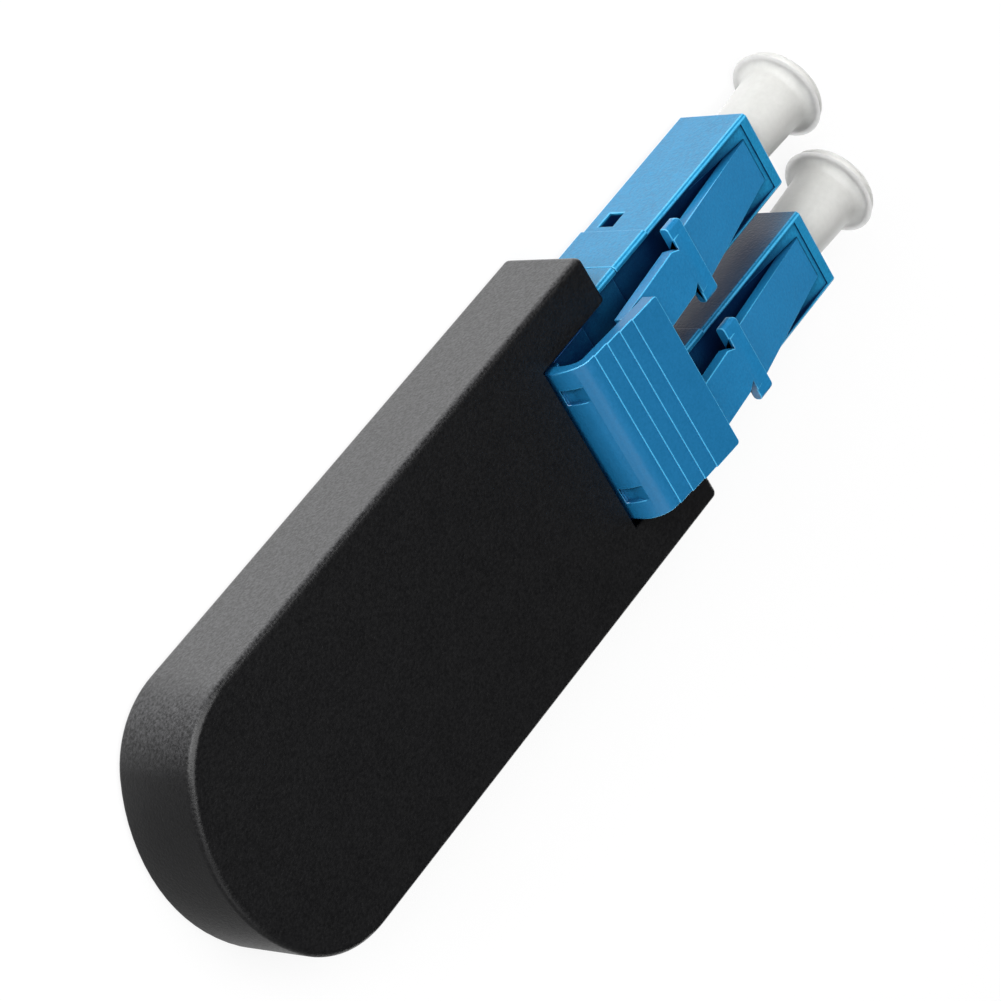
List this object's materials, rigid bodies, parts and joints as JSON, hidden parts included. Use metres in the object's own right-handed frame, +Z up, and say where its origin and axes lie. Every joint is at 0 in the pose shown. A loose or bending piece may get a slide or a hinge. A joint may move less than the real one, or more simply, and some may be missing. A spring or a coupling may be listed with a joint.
{
  "type": "fibre loopback plug",
  "caption": "Flat fibre loopback plug: two latched optical plugs with dust caps and a ribbed trigger, joined by a fibre loop in a slim rounded housing.",
  "frame": {"origin": "centre of the bounding box in plan, on the face the plug rests on", "axes": "+X the way the plugs go into a port, +Y to the left seen from behind, +Z up through the latches and trigger"},
  "size_m": [0.0548, 0.0152, 0.0079],
  "materials": {
    "housing": "fine moulded grain, black",
    "plug": "fine moulded grain, blue",
    "cap": "soft satin, off-white",
    "ceramic": "polished zirconia, off-white",
    "metal": "bright",
    "boot": "matt, black",
    "fibre": "satin, yellow"
  },
  "bodies": {
    "housing": {"housing_shell": "housing", "bottom_cover": "housing", "duplex_clip": "plug", "plug_body_left": "plug", "plug_body_right": "plug", "spring_left": "metal", "spring_right": "metal", "spring_seat_left": "plug", "spring_seat_right": "plug", "boot_left": "boot", "boot_right": "boot", "fibre_loop": "fibre"},
    "trigger": {"trigger": "plug"},
    "latch_left": {"latch_left": "plug"},
    "latch_right": {"latch_right": "plug"},
    "ferrule_left": {"ferrule_left": "ceramic", "ferrule_flange_left": "metal"},
    "ferrule_right": {"ferrule_right": "ceramic", "ferrule_flange_right": "metal"},
    "cap_left": {"dust_cap_left": "cap"},
    "cap_right": {"dust_cap_right": "cap"}
  },
  "joints": [
    {"name": "trigger_press", "type": "hinge", "parent": "housing", "child": "trigger", "pos_m": [0.0035, 0, 0.00465], "axis": [0, 1, 0], "range_deg": [0, 10], "stiffness_Nm_per_rad": 0.02},
    {"name": "latch_left_flex", "type": "hinge", "parent": "housing", "child": "latch_left", "pos_m": [0.0211, 0.00313, 0.00445], "axis": [0, -1, 0], "range_deg": [0, 4], "stiffness_Nm_per_rad": 0.02},
    {"name": "latch_right_flex", "type": "hinge", "parent": "housing", "child": "latch_right", "pos_m": [0.0211, -0.00313, 0.00445], "axis": [0, -1, 0], "range_deg": [0, 4], "stiffness_Nm_per_rad": 0.02},
    {"name": "ferrule_left_float", "type": "slide", "parent": "housing", "child": "ferrule_left", "axis": [-1, 0, 0], "range_m": [0, 0.0008], "stiffness_N_per_m": 1500, "deforming": ["spring_left"]},
    {"name": "ferrule_right_float", "type": "slide", "parent": "housing", "child": "ferrule_right", "axis": [-1, 0, 0], "range_m": [0, 0.0008], "stiffness_N_per_m": 1500, "deforming": ["spring_right"]},
    {"name": "cap_left_pull", "type": "slide", "parent": "housing", "child": "cap_left", "axis": [1, 0, 0], "range_m": [0, 0.01]},
    {"name": "cap_right_pull", "type": "slide", "parent": "housing", "child": "cap_right", "axis": [1, 0, 0], "range_m": [0, 0.01]}
  ],
  "couplings": [
    {"joint": "latch_left_flex", "follows": "trigger_press", "ratio": 0.38},
    {"joint": "latch_right_flex", "follows": "trigger_press", "ratio": 0.38}
  ]
}
